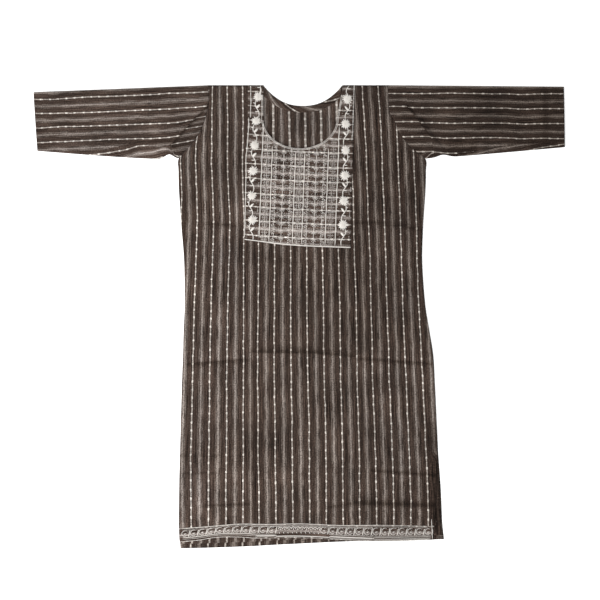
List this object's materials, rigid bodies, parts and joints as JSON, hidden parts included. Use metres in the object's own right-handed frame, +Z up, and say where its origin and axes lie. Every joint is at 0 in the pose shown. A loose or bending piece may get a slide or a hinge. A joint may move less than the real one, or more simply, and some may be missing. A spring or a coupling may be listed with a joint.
{
  "type": "kurta tunic",
  "caption": "Striped cotton kurta tunic with an embroidered yoke, three-quarter sleeves and a bordered hem, laid flat.",
  "frame": {"origin": "on the surface the tunic lies on, under the middle of its bounding box", "axes": "+X runs to the right with the front in view and the neck away from the viewer, along the spread sleeves; +Y from hem to shoulders; +Z up out of the front"},
  "size_m": [1.0888, 0.9492, 0.0076],
  "materials": {
    "striped_cotton": "matt woven cotton in dark brown with grey bands and dotted off-white threads",
    "embroidered_cotton": "the same cotton with its stripes across, closely covered in off-white thread embroidery"
  },
  "bodies": {
    "root": {"back_panel": "striped_cotton", "front_panel": "striped_cotton", "sleeve_left": "striped_cotton", "sleeve_right": "striped_cotton", "yoke_panel": "embroidered_cotton", "hem_border": "embroidered_cotton", "back_neck_facing": "striped_cotton"}
  },
  "joints": []
}
